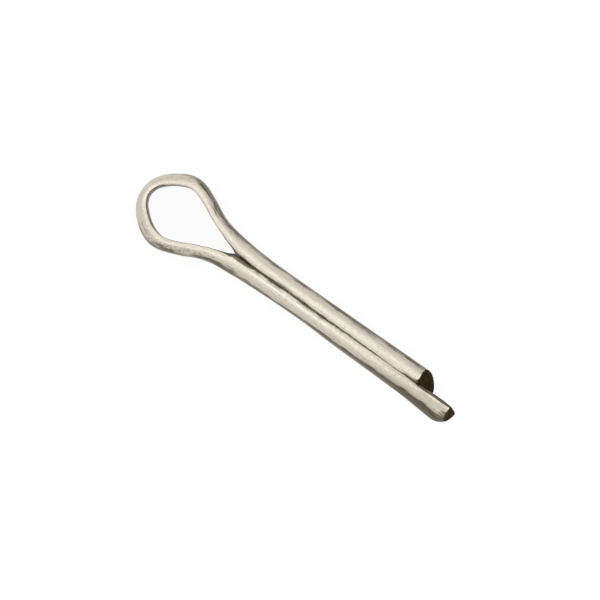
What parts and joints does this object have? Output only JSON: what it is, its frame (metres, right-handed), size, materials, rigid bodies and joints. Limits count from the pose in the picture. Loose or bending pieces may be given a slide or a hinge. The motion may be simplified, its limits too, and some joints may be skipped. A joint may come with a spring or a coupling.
{
  "type": "cotter pin",
  "caption": "Split pin folded from half-round steel wire: a tear-drop eye, and legs that lie flat to flat as one round shank, with a longer leg past sheared ends.",
  "frame": {"origin": "on the shank's axis at the foot of the neck, where the straight legs begin to spread into the eye", "axes": "+X along the shank from the eye towards the tips, +Y across the legs towards the short leg, +Z square to the plane of the eye"},
  "size_m": [0.0421, 0.009, 0.0036],
  "materials": {
    "drawn_steel": "satin drawn low-carbon steel with a warm off-white cast, fine lengthwise draw marks and bare dark metal on the sheared ends"
  },
  "bodies": {
    "root": {"cotter_pin": "drawn_steel"}
  },
  "joints": []
}
